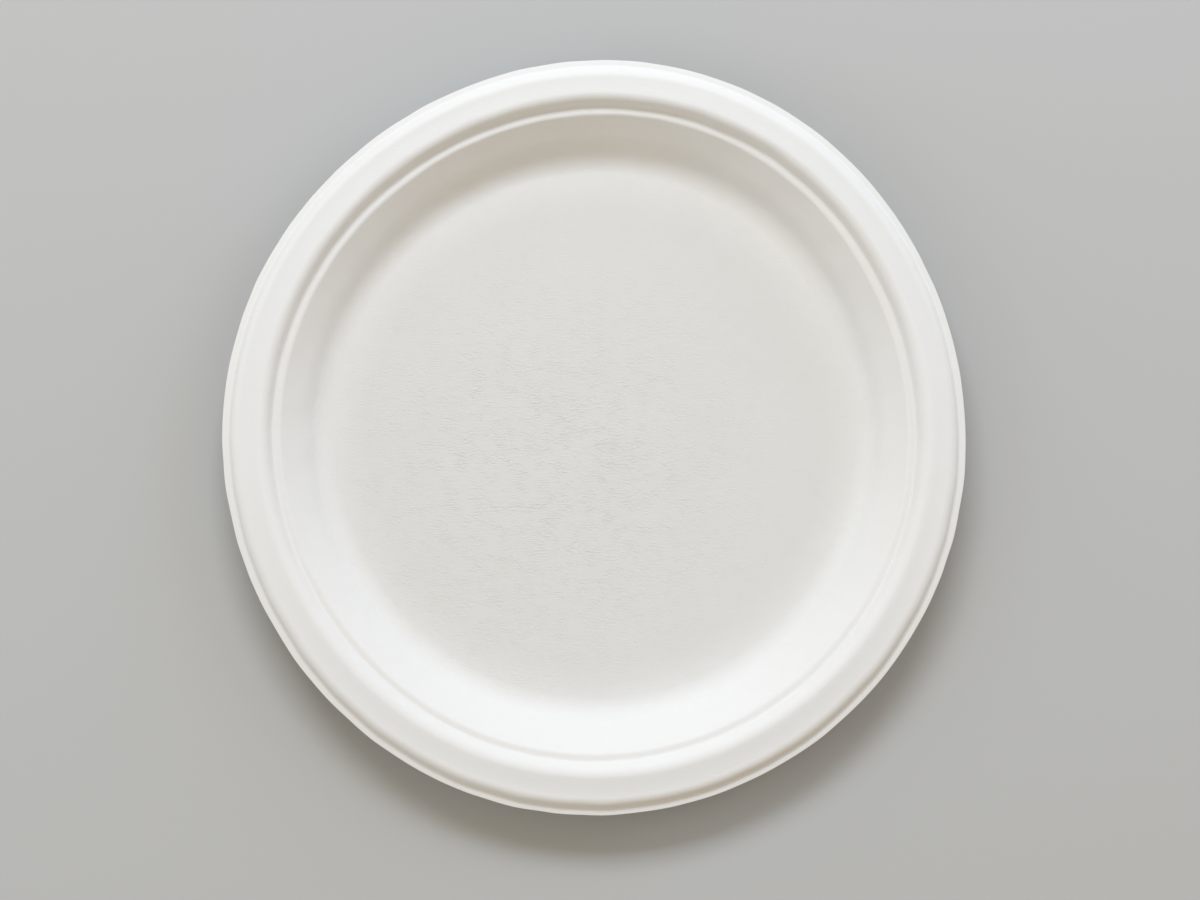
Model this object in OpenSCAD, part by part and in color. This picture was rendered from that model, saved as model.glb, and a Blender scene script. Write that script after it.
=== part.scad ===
// Round dinner plate of moulded plant fibre: one sheet, pressed between two dies.
// From the middle outwards it has a flat base, a sloped side that bows outwards, a narrow
// stacking ledge, a raised rim that rolls over, and a flat edge where it was cut out.
// The section is drawn from the corners of the food face. The sheet runs straight from corner
// to corner, bends round each of them, and is equally thick all the way.

/* [Plate] */
// Diameter over the trimmed edge
plate_d = 230; // [180:5:320]
// Height from the table to the top of the rim
plate_h = 19; // [15:0.5:26]
// Thickness of the pressed sheet
sheet_t = 0.7; // [0.5:0.1:1.2]

/* [Side] */
// Radius of the bend between the floor and the side
floor_bend = 8.4; // [5:0.2:11]
// Slope of the side from the floor to its bow, in degrees
foot_slope = 56; // [51:1:62]
// Slope of the side from its bow to the ledge, in degrees
side_slope = 47; // [40:1:49]
// Height of the bow above the floor, as a share of the side's height
bow_share = 0.5; // [0.35:0.05:0.65]
// Radius of the bow
bow_bend = 20; // [8:1:24]

/* [Ledge] */
// Width of the stacking ledge from corner to corner
ledge_w = 2.3; // [1.9:0.1:4]
// Radius of the bend where the side meets the ledge
ledge_in_bend = 1.7; // [1.4:0.1:2.2]
// Radius of the bend where the ledge meets the rim
ledge_out_bend = 1.1; // [0.8:0.1:1.5]

/* [Rim] */
// Height of the rim's top above the ledge
rim_rise = 3.9; // [3.5:0.1:6]
// Slope of the rim's inner face above the table, in degrees
rim_slope = 62; // [52:1:72]
// Radius of the bend between the rim's inner face and its top
crown_bend = 3.4; // [2:0.1:3.8]
// Width of the rim's top from corner to corner
crown_w = 9.4; // [8:0.1:14]
// Fall of the rim's top towards the outside, in degrees
crown_fall = 6.4; // [2:0.2:8]
// Width of the level land outside that fall, up to the shoulder's corner
land_w = 3.5; // [3:0.1:4]
// Radius of the hollow where the fall runs out into the land
land_bend = 24; // [10:1:28]
// Radius of the bend where the land rolls over to the skirt
shoulder_bend = 3.3; // [1.8:0.1:3.6]
// Slope of the skirt below the land, in degrees
skirt_slope = 61; // [50:1:75]

/* [Trimmed edge] */
// Drop from the rim's top to the flat edge
edge_drop = 3.2; // [2.9:0.1:4]
// Width of the flat edge, from its crease to where it was cut
edge_w = 2.1; // [1.5:0.1:4]
// Radius of the crease between the skirt and the flat edge
crease_bend = 1.3; // [0.6:0.1:1.4]

/* [Hidden] */

PULP_WHITE = [0.9, 0.89, 0.865];
// Sides of a full turn round the plate's axis
ROUND_SIDES = 120;
// Largest angle between two points of a bend, in degrees
BEND_STEP = 6;

// Distance from a sharp corner back to where its bend begins
function reach(bend, turn) = bend * tan(abs(turn) / 2);

// Heights of the food face above the table
floor_z = sheet_t;
ledge_z = plate_h - rim_rise;
bow_z = floor_z + bow_share * (ledge_z - floor_z);
edge_z = plate_h - edge_drop;
// The sharp corner stands above the bend that rounds it off, and plate_h is the bend's top
crown_z = plate_h + reach(crown_bend, rim_slope + crown_fall) * sin(crown_fall)
    - crown_bend * (1 - cos(crown_fall));
land_z = crown_z - (crown_w - land_w) * tan(crown_fall);

// Distances from the plate's axis, worked out from the trimmed edge inwards
plate_r = plate_d / 2;
crease_r = plate_r - edge_w;
shoulder_r = crease_r - (land_z - edge_z) / tan(skirt_slope);
land_r = shoulder_r - land_w;
crown_r = shoulder_r - crown_w;
ledge_out_r = crown_r - (crown_z - ledge_z) / tan(rim_slope);
ledge_in_r = ledge_out_r - ledge_w;
bow_r = ledge_in_r - (ledge_z - bow_z) / tan(side_slope);
floor_r = bow_r - (bow_z - floor_z) / tan(foot_slope);

// Corners of the food face: distance from the axis, height, radius of the bend
CORNERS = [
    [0, floor_z, 0],
    [floor_r, floor_z, floor_bend],
    [bow_r, bow_z, bow_bend],
    [ledge_in_r, ledge_z, ledge_in_bend],
    [ledge_out_r, ledge_z, ledge_out_bend],
    [crown_r, crown_z, crown_bend],
    [land_r, land_z, land_bend],
    [shoulder_r, land_z, shoulder_bend],
    [crease_r, edge_z, crease_bend],
    [plate_r, edge_z, 0],
];
LAST = len(CORNERS) - 1;

function place(i) = [CORNERS[i][0], CORNERS[i][1]];
function run(i) = place(i + 1) - place(i);
// Direction of the sheet from corner i to the next, in degrees above the table
function heading(i) = atan2(run(i)[1], run(i)[0]);
function along(angle) = [cos(angle), sin(angle)];
// Change of direction at corner i: positive where the sheet turns up
function turn(i) = (i == 0 || i == LAST) ? 0 : heading(i) - heading(i - 1);
// How much of the bends at its two ends the sheet from corner i to the next has room for
function room(i) = min(1, norm(run(i)) / (reach(CORNERS[i][2], turn(i))
    + reach(CORNERS[i + 1][2], turn(i + 1)) + 0.001));
// Radius on the food face at corner i, no larger than the two stretches beside it allow
function bend_r(i) = CORNERS[i][2] * min(room(i - 1), room(i));
// Square to the sheet, towards its underside
function under(angle) = along(angle - 90);

// Points round corner i on the face that lies this depth under the food face
function bend(i, depth) =
    let (
        side = sign(turn(i)),
        start = place(i) - reach(bend_r(i), turn(i)) * along(heading(i - 1)),
        centre = start - side * bend_r(i) * under(heading(i - 1)),
        steps = ceil(abs(turn(i)) / BEND_STEP)
    )
    [
        for (k = [0 : steps])
            centre + (side * bend_r(i) + depth) * under(heading(i - 1) + turn(i) * k / steps)
    ];

// One face of the sheet, from the axis to the trimmed edge
function face(depth) = concat(
    [place(0) + depth * under(heading(0))],
    [for (i = [1 : LAST - 1]) each bend(i, depth)],
    [place(LAST) + depth * under(heading(LAST - 1))]
);
function backwards(points) = [for (i = [len(points) - 1 : -1 : 0]) points[i]];

module plate() {
    color(PULP_WHITE)
    rotate_extrude($fn = ROUND_SIDES)
    polygon(concat(face(0), backwards(face(sheet_t))));
}

plate();
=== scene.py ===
"""A moulded paper plate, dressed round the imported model.

The plate is one pressed sheet. Its section is drawn as the corners of the food face, each corner
is rounded, and the sheet is turned about the plate's axis. It then takes the small faults of a
real one: it is a little out of round, its rim isn't quite level and its faces aren't quite
smooth. A plain floor, soft lamps and a camera above the plate make up the studio.
"""

import logging
import math
from dataclasses import dataclass, field
from enum import Enum

import bpy
from mathutils import Matrix, Vector, noise


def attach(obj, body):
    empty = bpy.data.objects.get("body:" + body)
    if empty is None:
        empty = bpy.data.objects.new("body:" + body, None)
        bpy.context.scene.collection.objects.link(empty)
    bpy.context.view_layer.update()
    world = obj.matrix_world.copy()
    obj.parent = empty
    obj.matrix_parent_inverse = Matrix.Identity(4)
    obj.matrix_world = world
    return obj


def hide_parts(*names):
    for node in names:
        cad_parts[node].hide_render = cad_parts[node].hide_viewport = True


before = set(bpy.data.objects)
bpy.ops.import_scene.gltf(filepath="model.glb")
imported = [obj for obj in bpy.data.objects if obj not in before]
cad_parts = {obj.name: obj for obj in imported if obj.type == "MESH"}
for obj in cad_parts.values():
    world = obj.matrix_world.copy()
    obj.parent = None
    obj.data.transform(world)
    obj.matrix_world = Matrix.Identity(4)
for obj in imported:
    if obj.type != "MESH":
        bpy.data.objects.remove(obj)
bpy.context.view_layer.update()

Socket = bpy.types.NodeSocket
Triple = tuple[float, float, float]
Span = tuple[float, float]

MM = 0.001
ON_AXIS = 0.001 * MM
# Darker pulp tone for the random patches, and also the colour of the painted shade in the felt
# marks' hollows.
DARK_PULP_AND_PAINTED_SHADE: Triple = (0.52, 0.49, 0.43)
PULP_TINT: Triple = (0.74, 0.77, 0.80)
log = logging.getLogger("paper_plate")


class Face(Enum):
    """The two faces of the pressed sheet."""

    FOOD = "food"
    UNDER = "under"


@dataclass(frozen=True)
class Corner:
    """A corner of the food face before it is rounded, in metres."""

    radius: float
    height: float
    bend: float = 0.0

    @property
    def at(self) -> Vector:
        """The corner as a point of the section."""
        return Vector((self.radius, self.height))


@dataclass(frozen=True)
class SheetPoint:
    """A point of the food face's outline: where it is and which way it runs."""

    at: Vector
    heading: float


@dataclass(frozen=True)
class Ring:
    """A ring of the mesh: a point of the section, its normal and the face that it is on."""

    at: Vector
    normal: Vector
    face: Face


@dataclass
class PressedSection:
    """The section of the pressed sheet, with the same sizes as the solid has, in metres."""

    plate_d: float = 230 * MM
    plate_h: float = 19 * MM
    sheet_t: float = 0.7 * MM
    floor_bend: float = 8.4 * MM
    foot_slope: float = math.radians(56)
    side_slope: float = math.radians(47)
    bow_share: float = 0.5
    bow_bend: float = 20 * MM
    ledge_w: float = 2.3 * MM
    ledge_in_bend: float = 1.7 * MM
    ledge_out_bend: float = 1.1 * MM
    rim_rise: float = 3.9 * MM
    rim_slope: float = math.radians(62)
    crown_bend: float = 3.4 * MM
    crown_w: float = 9.4 * MM
    crown_fall: float = math.radians(6.4)
    land_w: float = 3.5 * MM
    land_bend: float = 24 * MM
    shoulder_bend: float = 3.3 * MM
    skirt_slope: float = math.radians(61)
    edge_drop: float = 3.2 * MM
    edge_w: float = 2.1 * MM
    crease_bend: float = 1.3 * MM
    cut_round: float = 0.12 * MM
    bend_step: float = math.radians(5)
    side_step: float = 1.6 * MM
    floor_step: float = 3.2 * MM

    def corners(self) -> list[Corner]:
        """Works the corners out from the trimmed edge inwards.

        Returns:
            The corners from the plate's axis to its edge.
        """
        floor_z = self.sheet_t
        ledge_z = self.plate_h - self.rim_rise
        bow_z = floor_z + self.bow_share * (ledge_z - floor_z)
        edge_z = self.plate_h - self.edge_drop
        reach = self.crown_bend * math.tan((self.rim_slope + self.crown_fall) / 2)
        crown_z = self.plate_h + reach * math.sin(self.crown_fall)
        crown_z -= self.crown_bend * (1 - math.cos(self.crown_fall))
        land_z = crown_z - (self.crown_w - self.land_w) * math.tan(self.crown_fall)
        crease_r = self.plate_d / 2 - self.edge_w
        shoulder_r = crease_r - (land_z - edge_z) / math.tan(self.skirt_slope)
        crown_r = shoulder_r - self.crown_w
        ledge_out_r = crown_r - (crown_z - ledge_z) / math.tan(self.rim_slope)
        ledge_in_r = ledge_out_r - self.ledge_w
        bow_r = ledge_in_r - (ledge_z - bow_z) / math.tan(self.side_slope)
        floor_r = bow_r - (bow_z - floor_z) / math.tan(self.foot_slope)
        return [
            Corner(0, floor_z),
            Corner(floor_r, floor_z, self.floor_bend),
            Corner(bow_r, bow_z, self.bow_bend),
            Corner(ledge_in_r, ledge_z, self.ledge_in_bend),
            Corner(ledge_out_r, ledge_z, self.ledge_out_bend),
            Corner(crown_r, crown_z, self.crown_bend),
            Corner(shoulder_r - self.land_w, land_z, self.land_bend),
            Corner(shoulder_r, land_z, self.shoulder_bend),
            Corner(crease_r, edge_z, self.crease_bend),
            Corner(self.plate_d / 2 - self.cut_round, edge_z),
        ]

    def food_line(self) -> list[SheetPoint]:
        """Follows the food face from the axis to where the cut edge begins to round.

        Returns:
            Points close enough together to be turned into smooth rings.
        """
        corners = self.corners()
        headings = [
            math.atan2(b.height - a.height, b.radius - a.radius)
            for a, b in zip(corners, corners[1:])
        ]
        points = [SheetPoint(corners[0].at, headings[0])]
        for i, corner in enumerate(corners[1:-1], start=1):
            turn = headings[i] - headings[i - 1]
            start = corner.at - direction(headings[i - 1]) * corner.bend * math.tan(abs(turn) / 2)
            self._run_to(points, start, headings[i - 1])
            side = math.copysign(corner.bend, turn)
            centre = start - side * under(headings[i - 1])
            steps = math.ceil(abs(turn) / self.bend_step)
            for k in range(1, steps + 1):
                heading = headings[i - 1] + turn * k / steps
                points.append(SheetPoint(centre + side * under(heading), heading))
        self._run_to(points, corners[-1].at, headings[-1])
        return points

    def _run_to(self, points: list[SheetPoint], end: Vector, heading: float) -> None:
        """Adds the straight stretch from the last point to its end.

        Args:
            points: The points so far, which grow.
            end: Where the stretch ends.
            heading: Which way it runs.
        """
        start = points[-1].at
        step = self.floor_step if len(points) == 1 else self.side_step
        count = max(1, math.ceil((end - start).length / step))
        points.extend(SheetPoint(start.lerp(end, k / count), heading) for k in range(1, count + 1))

    def rings(self) -> list[Ring]:
        """Closes the section: the food face, the cut edge and the underside.

        Returns:
            Rings from the middle of the food face, round the edge, to the middle below.
        """
        line = self.food_line()
        food = [Ring(p.at, -under(p.heading), Face.FOOD) for p in line]
        below = [
            Ring(p.at + under(p.heading) * self.sheet_t, under(p.heading), Face.UNDER)
            for p in reversed(line[:-1])
        ]
        return food + self._cut_edge(line[-1]) + below

    def _cut_edge(self, last: SheetPoint) -> list[Ring]:
        """Rounds the two corners of the cut edge.

        Args:
            last: The last point of the food face.

        Returns:
            Rings from just past the food face to the start of the underside.
        """
        near, far = self.cut_round, self.sheet_t - self.cut_round
        rings = []
        for degrees, depth in ((45, near), (90, near), (90, far), (135, far), (180, far)):
            normal = direction(last.heading + math.radians(90 - degrees))
            centre = last.at + under(last.heading) * depth
            face = Face.FOOD if depth == near else Face.UNDER
            rings.append(Ring(centre + normal * self.cut_round, normal, face))
        return rings


def direction(heading: float) -> Vector:
    """The unit vector of a heading in the section."""
    return Vector((math.cos(heading), math.sin(heading)))


def under(heading: float) -> Vector:
    """The unit vector square to a heading, towards the underside."""
    return Vector((math.sin(heading), -math.cos(heading)))


@dataclass(frozen=True)
class Wave:
    """A wave round the plate: how many crests, how high, and the angle of a crest."""

    count: int
    size: float
    crest: float

    def at(self, angle: float) -> float:
        """The wave's height at an angle about the plate's axis."""
        return self.size * math.cos(self.count * (angle - self.crest))


@dataclass(frozen=True)
class Ripple:
    """An uneven wave over the whole sheet: its height, how long it is, and its own pattern."""

    size: float
    length: float
    pattern: Vector

    def at(self, point: Vector) -> float:
        """The ripple's height at a point of the sheet."""
        return self.size * noise.noise(point / self.length + self.pattern)


@dataclass(frozen=True)
class SheetFaults:
    """How a pressed plate departs from its die: its outline, its level and its smoothness."""

    outline: tuple[Wave, ...] = (
        Wave(2, 0.96 * MM, math.radians(83)),
        Wave(3, 0.39 * MM, math.radians(63)),
        Wave(4, 0.30 * MM, math.radians(72)),
    )
    level: tuple[Wave, ...] = (
        Wave(2, 0.16 * MM, math.radians(20)),
        Wave(3, 0.10 * MM, math.radians(75)),
    )
    core_shift: Vector = Vector((-0.03 * MM, 1.03 * MM, 0))
    core_r: float = 98 * MM
    edge_r: float = 112 * MM
    floor_r: float = 80 * MM
    middle_r: float = 60 * MM
    bumps: tuple[Ripple, ...] = (
        Ripple(0.045 * MM, 17 * MM, Vector((0, 0, 0))),
        Ripple(0.012 * MM, 5 * MM, Vector((2, 1, 4))),
    )
    wander: Ripple = Ripple(0.2 * MM, 9 * MM, Vector((7, 3, 5)))

    def move(self, flat: Vector, normal: Vector) -> Vector:
        """Moves a point of the perfect sheet to where the real sheet has it.

        Args:
            flat: The point on the perfect sheet.
            normal: The food face's normal there.

        Returns:
            The moved point, never below the table.
        """
        angle = math.atan2(flat.y, flat.x)
        radius = math.hypot(flat.x, flat.y)
        out = Vector((math.cos(angle), math.sin(angle), 0))
        on_side = smooth(radius, self.middle_r, self.core_r)
        on_rim = smooth(radius, self.floor_r, self.edge_r)
        in_core = 1 - smooth(radius, self.core_r, self.edge_r)
        stretch = sum(wave.at(angle) for wave in self.outline)
        moved = flat + out * on_side * (stretch + self.wander.at(flat))
        moved += normal * sum(bump.at(flat) for bump in self.bumps)
        moved += self.core_shift * in_core
        moved.z += on_rim * sum(wave.at(angle) for wave in self.level)
        moved.z = max(0.0, moved.z)
        return moved


def smooth(value: float, low: float, high: float) -> float:
    """A smooth step from 0 at low to 1 at high."""
    t = min(1.0, max(0.0, (value - low) / (high - low)))
    return t * t * (3 - 2 * t)


@dataclass(frozen=True)
class Pattern:
    """A noise pattern: its cells to the metre along each axis, how it lies and how fine it gets."""

    cells: Triple
    detail: float = 2.0
    rough: float = 0.5
    distort: float = 0.0
    turn: float = 0.0
    shift: Triple = (0, 0, 0)


class NodeBench:
    """A material's node tree, with short calls for what the finishes need."""

    MIX_COLOUR_INPUTS = (6, 7)
    MIX_COLOUR_OUTPUT = 2

    def __init__(self, name: str) -> None:
        """Makes a material with nothing but its shader.

        Args:
            name: The material's name.
        """
        self.material = bpy.data.materials.new(name)
        self.material.use_nodes = True
        self.tree = self.material.node_tree
        self.tree.nodes.clear()
        self.output = self.tree.nodes.new("ShaderNodeOutputMaterial")
        self.shader = self.tree.nodes.new("ShaderNodeBsdfPrincipled")
        self.link(self.shader.outputs["BSDF"], self.output.inputs["Surface"])

    def link(self, start: Socket, end: Socket) -> None:
        """Joins two sockets."""
        self.tree.links.new(start, end)

    def feed(self, socket: Socket, value: Socket | float | tuple[float, ...]) -> None:
        """Gives a socket its value, by a link or as a constant.

        Args:
            socket: The socket.
            value: Another node's output, or the constant.
        """
        if isinstance(value, Socket):
            self.link(value, socket)
        else:
            socket.default_value = value

    def places(self) -> Socket:
        """The surface's own coordinates, in metres."""
        return self.tree.nodes.new("ShaderNodeTexCoord").outputs["Object"]

    def scaled(
        self, source: Socket, scale: Triple, turn: float = 0.0, shift: Triple = (0, 0, 0)
    ) -> Socket:
        """Turns and then scales coordinates.

        Args:
            source: The coordinates.
            scale: Factors along X, Y and Z after the turn.
            turn: The turn about Z, in radians.
            shift: What is added after the turn, to draw another part of a pattern.

        Returns:
            The new coordinates.
        """
        spin = self.tree.nodes.new("ShaderNodeMapping")
        spin.inputs["Rotation"].default_value = (0, 0, turn)
        spin.inputs["Location"].default_value = shift
        self.link(source, spin.inputs["Vector"])
        size = self.tree.nodes.new("ShaderNodeMapping")
        size.inputs["Scale"].default_value = scale
        self.link(spin.outputs["Vector"], size.inputs["Vector"])
        return size.outputs["Vector"]

    def draw(self, pattern: Pattern, places: Socket) -> Socket:
        """Draws a noise pattern.

        Args:
            pattern: The pattern.
            places: The surface's coordinates.

        Returns:
            The pattern's value, about 0.5 on average.
        """
        node = self.tree.nodes.new("ShaderNodeTexNoise")
        node.inputs["Scale"].default_value = 1.0
        node.inputs["Detail"].default_value = pattern.detail
        node.inputs["Roughness"].default_value = pattern.rough
        node.inputs["Distortion"].default_value = pattern.distort
        laid = self.scaled(places, pattern.cells, pattern.turn, pattern.shift)
        self.link(laid, node.inputs["Vector"])
        return node.outputs["Fac"]

    def combine(self, kind: str, first: Socket | float, second: Socket | float) -> Socket:
        """Combines two values by one of Blender's operations.

        Args:
            kind: Blender's name of the operation.
            first: The first value.
            second: The second value.

        Returns:
            The result.
        """
        node = self.tree.nodes.new("ShaderNodeMath")
        node.operation = kind
        self.feed(node.inputs[0], first)
        self.feed(node.inputs[1], second)
        return node.outputs["Value"]

    def distance(self, source: Socket, centre: Triple) -> Socket:
        """Measures how far each place is from a centre.

        Args:
            source: The coordinates.
            centre: The centre, in metres.

        Returns:
            The distance, in metres.
        """
        node = self.tree.nodes.new("ShaderNodeVectorMath")
        node.operation = "DISTANCE"
        node.inputs[1].default_value = centre
        self.link(source, node.inputs[0])
        return node.outputs["Value"]

    def spread(self, source: Socket, start: Span, end: Span) -> Socket:
        """Maps one range of values smoothly to another.

        Args:
            source: The value.
            start: The range that it comes from.
            end: The range that it goes to.

        Returns:
            The mapped value.
        """
        node = self.tree.nodes.new("ShaderNodeMapRange")
        node.interpolation_type = "SMOOTHSTEP"
        for name, value in zip(("From Min", "From Max", "To Min", "To Max"), (*start, *end)):
            node.inputs[name].default_value = value
        self.link(source, node.inputs["Value"])
        return node.outputs["Result"]

    def blend(self, share: Socket, first: Socket | Triple, second: Socket | Triple) -> Socket:
        """Blends two colours.

        Args:
            share: How much of the second colour shows.
            first: The colour at 0.
            second: The colour at 1.

        Returns:
            The blended colour.
        """
        node = self.tree.nodes.new("ShaderNodeMix")
        node.data_type = "RGBA"
        self.link(share, node.inputs["Factor"])
        for index, colour in zip(self.MIX_COLOUR_INPUTS, (first, second)):
            self.feed(node.inputs[index], colour if isinstance(colour, Socket) else (*colour, 1.0))
        return node.outputs[self.MIX_COLOUR_OUTPUT]


@dataclass(frozen=True)
class Mottle:
    """A shade that lies on the pulp in patches.

    The first of the two values of its pattern gives no shade, and the second gives the most.
    """

    pattern: Pattern
    values: Span
    most: float
    colour: Triple


@dataclass(frozen=True)
class Specks:
    """Tiny specks of darker plant matter: cells to the metre, and the share of them left clear.

    A speck's size is where it starts and ends to fade, as a share of its cell.
    """

    cells: float = 90.0
    clear: float = 0.95
    size: Span = (0.012, 0.030)
    strength: float = 0.7
    colour: Triple = (0.32, 0.27, 0.20)

    def draw(self, bench: NodeBench, places: Socket) -> Socket:
        """Draws the specks.

        Args:
            bench: The material's bench.
            places: The surface's coordinates.

        Returns:
            The pattern: up to the specks' strength in a speck and 0 elsewhere.
        """
        cells = bench.tree.nodes.new("ShaderNodeTexVoronoi")
        cells.inputs["Scale"].default_value = self.cells
        bench.link(places, cells.inputs["Vector"])
        pick = bench.tree.nodes.new("ShaderNodeSeparateColor")
        bench.link(cells.outputs["Color"], pick.inputs["Color"])
        chosen = bench.combine("GREATER_THAN", pick.outputs["Red"], self.clear)
        near = bench.spread(cells.outputs["Distance"], self.size, (self.strength, 0.0))
        return bench.combine("MULTIPLY", near, chosen)


@dataclass(frozen=True)
class FeltMarks:
    """The felt's fine cross-wise marks: deepest a little off the middle of the floor, in patches.

    A height is in parts of the depth, and the marks' heights are 0 on average.
    """

    depth: float = 0.024 * MM
    lines: Pattern = Pattern((600, 2100, 1200), detail=1.0, distort=0.8, turn=0.03)
    line_values: Span = (0.3, 0.7)
    patches: Pattern = Pattern((230, 300, 260))
    patch_values: Span = (0.35, 0.68)
    patch_heights: Span = (0.3, 1.6)
    deepest_at: Triple = (-14 * MM, -12 * MM, 0.0)
    fading: Span = (10 * MM, 90 * MM)
    fading_heights: Span = (1.35, 0.2)

    def draw(self, bench: NodeBench, places: Socket) -> Socket:
        """Draws the marks.

        Args:
            bench: The material's bench.
            places: The surface's coordinates.

        Returns:
            The marks' height.
        """
        relief = bench.spread(bench.draw(self.lines, places), self.line_values, (-1.0, 1.0))
        away = bench.distance(places, self.deepest_at)
        fade = bench.spread(away, self.fading, self.fading_heights)
        patches = bench.draw(self.patches, places)
        height = bench.spread(patches, self.patch_values, self.patch_heights)
        return bench.combine("MULTIPLY", relief, bench.combine("MULTIPLY", fade, height))


@dataclass(frozen=True)
class PulpFinish:
    """Bleached plant pulp: matt, faintly mottled, marked by the felt that it was pressed on.

    The hollows of the felt marks have painted shade. A span in metres is a range of distances from
    the plate's axis.
    """

    floor_colour: Triple = (0.702, 0.692, 0.665)
    rim_colour: Triple = (0.80, 0.79, 0.77)
    side_span: Span = (69 * MM, 91 * MM)
    top_colour: Triple = (0.72, 0.72, 0.71)
    top_inner_span: Span = (102.5 * MM, 105 * MM)
    top_outer_span: Span = (108.5 * MM, 111 * MM)
    top_share: float = 0.3
    mottles: tuple[Mottle, ...] = (
        Mottle(Pattern((42, 42, 42), 3.0, 0.6), (0.3, 0.7), 0.045, DARK_PULP_AND_PAINTED_SHADE),
        Mottle(Pattern((55, 55, 55), turn=0.5, shift=(3, 1, 2)), (0.4, 0.7), 0.05, PULP_TINT),
        Mottle(Pattern((260, 340, 300), turn=0.2), (0.4, 0.75), 0.04, DARK_PULP_AND_PAINTED_SHADE),
    )
    mottle_span: Span = (78 * MM, 95 * MM)
    mottle_outside: float = 0.35
    marks: FeltMarks = FeltMarks()
    # Painted shade: how much the hollows of the felt marks are darkened in the colour.
    painted_mark_shade: float = 0.02
    specks: Specks = Specks()
    grain: Pattern = Pattern((1500, 1500, 1500))
    grain_values: Span = (0.3, 0.7)
    grain_height: float = 0.14
    roughness: float = 0.82
    roughness_spread: float = 0.06
    specular: float = 0.3

    def make(self) -> bpy.types.Material:
        """Builds the material.

        Returns:
            The pulp's material.
        """
        bench = NodeBench("bleached_pulp")
        places = bench.places()
        marks = self.marks.draw(bench, places)
        grain = bench.draw(self.grain, places)
        bench.link(self._colour(bench, places, marks), bench.shader.inputs["Base Color"])
        rough_span = (self.roughness - self.roughness_spread, self.roughness + self.roughness_spread)
        rough = bench.spread(grain, self.grain_values, rough_span)
        bench.link(rough, bench.shader.inputs["Roughness"])
        bench.shader.inputs["Specular IOR Level"].default_value = self.specular
        height = bench.combine("ADD", marks, bench.combine("MULTIPLY", grain, self.grain_height))
        bump = bench.tree.nodes.new("ShaderNodeBump")
        bump.inputs["Strength"].default_value = 1.0
        bump.inputs["Distance"].default_value = self.marks.depth
        bench.link(height, bump.inputs["Height"])
        bench.link(bump.outputs["Normal"], bench.shader.inputs["Normal"])
        return bench.material

    def _colour(self, bench: NodeBench, places: Socket, marks: Socket) -> Socket:
        """Blends the colours of the floor, the side and the rim's top, darkens and tints the blend
        in patches, and paints shade into the hollows of the felt marks.

        Args:
            bench: The material's bench.
            places: The surface's coordinates.
            marks: The felt marks' height.

        Returns:
            The colour.
        """
        radius = bench.distance(bench.scaled(places, (1, 1, 0)), (0, 0, 0))
        outside = bench.spread(radius, self.side_span, (0.0, 1.0))
        colour = bench.blend(outside, self.floor_colour, self.rim_colour)
        top = bench.combine(
            "MULTIPLY",
            bench.spread(radius, self.top_inner_span, (0.0, self.top_share)),
            bench.spread(radius, self.top_outer_span, (1.0, 0.0)),
        )
        colour = bench.blend(top, colour, self.top_colour)
        inside = bench.spread(radius, self.mottle_span, (1.0, self.mottle_outside))
        for mottle in self.mottles:
            pattern = bench.draw(mottle.pattern, places)
            share = bench.spread(pattern, mottle.values, (0.0, mottle.most))
            share = bench.combine("MULTIPLY", share, inside)
            colour = bench.blend(share, colour, mottle.colour)
        # Painted shade: the hollows of the felt marks are darkened in the colour, on top of their
        # bump.
        painted_hollow_shade = bench.spread(marks, (0.0, -1.0), (0.0, self.painted_mark_shade))
        colour = bench.blend(painted_hollow_shade, colour, DARK_PULP_AND_PAINTED_SHADE)
        return bench.blend(self.specks.draw(bench, places), colour, self.specks.colour)


@dataclass(frozen=True)
class FloorFinish:
    """Plain pale grey paper under the plate."""

    colour: Triple = (0.50, 0.50, 0.49)
    roughness: float = 0.9
    specular: float = 0.2

    def make(self) -> bpy.types.Material:
        """Builds the material.

        Returns:
            The floor's material.
        """
        bench = NodeBench("pale_floor")
        bench.shader.inputs["Base Color"].default_value = (*self.colour, 1.0)
        bench.shader.inputs["Roughness"].default_value = self.roughness
        bench.shader.inputs["Specular IOR Level"].default_value = self.specular
        return bench.material


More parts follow.
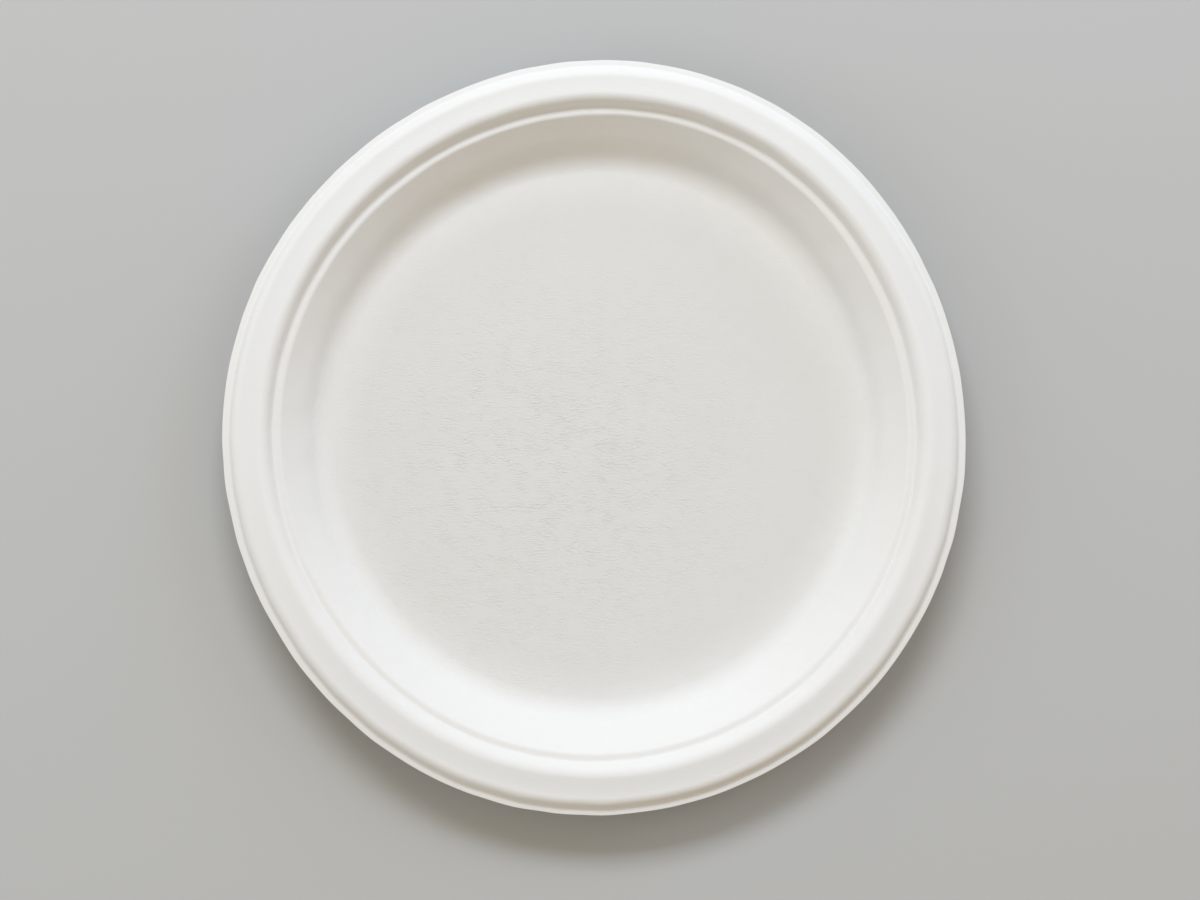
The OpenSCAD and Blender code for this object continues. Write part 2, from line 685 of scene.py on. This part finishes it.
@dataclass
class PaperPlate:
    """The plate: one closed sheet that stands for the solid."""

    section: PressedSection = field(default_factory=PressedSection)
    faults: SheetFaults = field(default_factory=SheetFaults)
    finish: PulpFinish = field(default_factory=PulpFinish)
    sides: int = 400
    map_disc_r: float = 0.286
    map_gap: float = 0.004

    def build(self) -> bpy.types.Object:
        """Builds, dresses and places the sheet.

        Returns:
            The plate's object.
        """
        rings = self.section.rings()
        mesh = bpy.data.meshes.new("pressed_sheet")
        mesh.from_pydata(self._points(rings), [], self._faces(len(rings)))
        mesh.validate()
        mesh.shade_smooth()
        self._unroll(mesh, rings)
        plate = bpy.data.objects.new("pressed_sheet", mesh)
        bpy.context.scene.collection.objects.link(plate)
        mesh.materials.append(self.finish.make())
        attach(plate, "root")
        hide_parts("plate")
        return plate

    def _points(self, rings: list[Ring]) -> list[Vector]:
        """Turns the rings about the axis and gives each point its faults.

        Args:
            rings: The rings of the closed section.

        Returns:
            The food face's middle, each ring's points, and the underside's middle.
        """
        points = []
        for ring in rings:
            count = 1 if ring.at.x < ON_AXIS else self.sides
            for k in range(count):
                angle = math.tau * k / self.sides
                out = Vector((math.cos(angle), math.sin(angle), 0))
                flat = out * ring.at.x + Vector((0, 0, ring.at.y))
                normal = out * ring.normal.x + Vector((0, 0, ring.normal.y))
                if ring.face is Face.UNDER:
                    normal = -normal
                points.append(self.faults.move(flat, normal))
        return points

    def _faces(self, count: int) -> list[tuple[int, ...]]:
        """Joins ring to ring, with a fan at each middle.

        Args:
            count: How many rings there are, the two middles included.

        Returns:
            The faces, each as its corners' numbers.
        """
        sides = self.sides
        last = 1 + (count - 2) * sides
        faces = []
        for k in range(sides):
            after = (k + 1) % sides
            faces.append((0, 1 + k, 1 + after))
            faces.append((last, last - sides + after, last - sides + k))
            for ring in range(count - 3):
                low = 1 + ring * sides
                high = low + sides
                faces.append((low + k, high + k, high + after, low + after))
        return faces

    def _unroll(self, mesh: bpy.types.Mesh, rings: list[Ring]) -> None:
        """Lays each face of the sheet out as one flat disc, the map that a baked texture uses.

        Args:
            mesh: The sheet's mesh, whose points follow the rings.
            rings: The rings of the closed section.
        """
        spans = [0.0]
        for near, far in zip(rings, rings[1:]):
            spans.append(spans[-1] + (far.at - near.at).length)
        seam = next(i for i, ring in enumerate(rings) if ring.face is Face.UNDER)
        scale = self.map_disc_r / max(spans[seam], spans[-1] - spans[seam])
        near_middle = self.map_disc_r + self.map_gap
        layer = mesh.uv_layers.new(name="OFBake")
        for polygon in mesh.polygons:
            rows = [(vertex + self.sides - 1) // self.sides for vertex in polygon.vertices]
            below = max(rows) > seam
            middle = 1 - near_middle if below else near_middle
            for loop, vertex, row in zip(polygon.loop_indices, polygon.vertices, rows):
                reach = scale * (spans[-1] - spans[row] if below else spans[row])
                angle = math.tau * ((vertex - 1) % self.sides) / self.sides
                layer.uv[loop].vector = (
                    middle + reach * math.cos(angle),
                    middle + reach * math.sin(angle),
                )


@dataclass(frozen=True)
class Lamp:
    """A soft rectangular lamp: where it stands as seen from the plate, its size and its light.

    Its angles are in degrees, its power is in watts, and the rest is in metres.
    """

    name: str
    azimuth: float
    elevation: float
    height: float
    power: float
    colour: Triple
    width: float = 1.0
    distance: float = 1.6

    def build(self) -> bpy.types.Object:
        """Hangs the lamp and points it at the plate.

        Returns:
            The lamp's object.
        """
        light = bpy.data.lights.new(self.name, "AREA")
        light.shape = "RECTANGLE"
        light.size, light.size_y = self.width, self.height
        light.energy = self.power
        light.color = self.colour
        lamp = bpy.data.objects.new(self.name, light)
        a, e = math.radians(self.azimuth), math.radians(self.elevation)
        place = Vector((math.cos(a) * math.cos(e), math.sin(a) * math.cos(e), math.sin(e)))
        lamp.location = place * self.distance
        lamp.rotation_euler = (-place).to_track_quat("-Z", "Y").to_euler()
        bpy.context.scene.collection.objects.link(lamp)
        return lamp


@dataclass
class Studio:
    """The floor, the lamps and the even light of the room."""

    floor: FloorFinish = field(default_factory=FloorFinish)
    floor_width: float = 8.0
    floor_z: float = -0.05 * MM
    room_colour: Triple = (0.533, 0.461, 0.356)
    backdrop_colour: Triple = (0.62, 0.62, 0.61)
    lamps: tuple[Lamp, ...] = (
        Lamp("window", 98, 46, height=0.4, power=17.4, colour=(0.817, 0.893, 1.0)),
        Lamp("left_fill", 190, 26, height=0.9, power=5.1, colour=(0.540, 0.740, 1.0)),
        Lamp("right_fill", 35, 26, height=0.9, power=6.8, colour=(0.497, 0.693, 1.0)),
    )

    def build(self) -> None:
        """Lays the floor, hangs the lamps and lights the room."""
        self._lay_floor()
        for lamp in self.lamps:
            lamp.build()
        self._light_room()
        bpy.context.scene.view_settings.view_transform = "Standard"

    def _lay_floor(self) -> None:
        """Lays the floor a hair under the plate's foot, so that the two faces don't coincide."""
        half, low = self.floor_width / 2, self.floor_z
        mesh = bpy.data.meshes.new("studio_floor")
        corners = [(-half, -half, low), (half, -half, low), (half, half, low), (-half, half, low)]
        mesh.from_pydata(corners, [], [(0, 1, 2, 3)])
        mesh.materials.append(self.floor.make())
        floor = bpy.data.objects.new("studio_floor", mesh)
        bpy.context.scene.collection.objects.link(floor)

    def _light_room(self) -> None:
        """Gives the room its even light, and the view past the floor its own pale colour."""
        world = bpy.data.worlds.new("studio_room")
        bpy.context.scene.world = world
        world.use_nodes = True
        tree = world.node_tree
        tree.nodes.clear()
        output = tree.nodes.new("ShaderNodeOutputWorld")
        choose = tree.nodes.new("ShaderNodeMixShader")
        rays = tree.nodes.new("ShaderNodeLightPath")
        for socket, colour in ((1, self.room_colour), (2, self.backdrop_colour)):
            light = tree.nodes.new("ShaderNodeBackground")
            light.inputs["Color"].default_value = (*colour, 1.0)
            tree.links.new(light.outputs["Background"], choose.inputs[socket])
        tree.links.new(rays.outputs["Is Camera Ray"], choose.inputs["Fac"])
        tree.links.new(choose.outputs["Shader"], output.inputs["Surface"])


@dataclass
class PhotoCamera:
    """The camera almost straight above the plate, with the far side of the table at the top."""

    place: Vector = field(default_factory=lambda: Vector((-0.016, -0.021, 0.816)))
    aim: Vector = field(default_factory=lambda: Vector((0.0011, -0.00404, 0.0158)))
    lens: float = 78.225
    sensor: float = 36.0

    def build(self) -> bpy.types.Object:
        """Sets the camera up with the top of its picture along +Y.

        Returns:
            The camera's object.
        """
        data = bpy.data.cameras.new("photo_camera")
        data.lens = self.lens
        data.sensor_width = self.sensor
        camera = bpy.data.objects.new("photo_camera", data)
        ahead = (self.aim - self.place).normalized()
        right = ahead.cross(Vector((0, 1, 0))).normalized()
        top = right.cross(ahead)
        turned = Matrix((right, top, -ahead)).transposed().to_4x4()
        camera.matrix_world = Matrix.Translation(self.place) @ turned
        bpy.context.scene.collection.objects.link(camera)
        bpy.context.scene.camera = camera
        return camera


def main() -> None:
    """Builds the plate, the studio and the camera in order."""
    logging.basicConfig(level=logging.INFO, format="%(name)s: %(message)s")
    plate = PaperPlate().build()
    plate.data.calc_loop_triangles()
    log.info("%s: %d triangles", plate.name, len(plate.data.loop_triangles))
    Studio().build()
    log.info("studio lit")
    PhotoCamera().build()
    log.info("camera placed")


if __name__ == "__main__":
    main()
